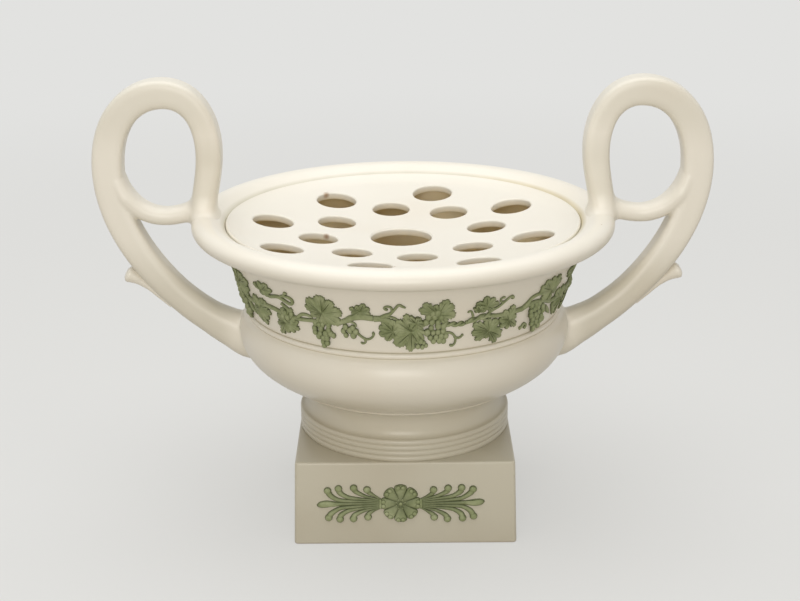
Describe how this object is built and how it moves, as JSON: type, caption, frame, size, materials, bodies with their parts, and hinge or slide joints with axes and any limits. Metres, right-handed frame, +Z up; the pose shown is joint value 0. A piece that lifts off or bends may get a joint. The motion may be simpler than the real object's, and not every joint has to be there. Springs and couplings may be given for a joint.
{
  "type": "crocus pot",
  "caption": "Footed round bowl with two looped handles and a pierced lift-out cover for bulbs, on a square plinth, with fruiting vine relief around the wall.",
  "frame": {"origin": "under the middle of the plinth, on the surface the pot stands on", "axes": "+X from the left handle to the right handle, +Y from the front to the back, +Z up"},
  "size_m": [0.2944, 0.2022, 0.2156],
  "materials": {
    "cream_glaze": "glossy",
    "green_relief": "matte"
  },
  "bodies": {
    "pot": {"plinth": "cream_glaze", "foot": "cream_glaze", "bowl": "cream_glaze", "handle_right": "cream_glaze", "handle_left": "cream_glaze", "handle_spur_right": "cream_glaze", "handle_spur_left": "cream_glaze", "vine_sprig_wide_1": "green_relief", "vine_sprig_wide_2": "green_relief", "vine_sprig_wide_3": "green_relief", "vine_sprig_tall_1": "green_relief", "vine_sprig_tall_2": "green_relief", "vine_sprig_tall_3": "green_relief", "vine_sprig_full_1": "green_relief", "vine_sprig_full_2": "green_relief", "vine_sprig_full_3": "green_relief", "vine_sprig_low_1": "green_relief", "vine_sprig_low_2": "green_relief", "vine_sprig_low_3": "green_relief", "rosette_front": "green_relief", "palmette_front_right": "green_relief", "palmette_front_left": "green_relief", "rosette_right": "green_relief", "palmette_right_right": "green_relief", "palmette_right_left": "green_relief", "rosette_back": "green_relief", "palmette_back_right": "green_relief", "palmette_back_left": "green_relief", "rosette_left": "green_relief", "palmette_left_right": "green_relief", "palmette_left_left": "green_relief"},
    "cover": {"pierced_cover": "cream_glaze"}
  },
  "joints": [
    {"name": "cover_lift", "type": "slide", "parent": "pot", "child": "cover", "axis": [0, 0, 1], "range_m": [0, 0.1]}
  ]
}
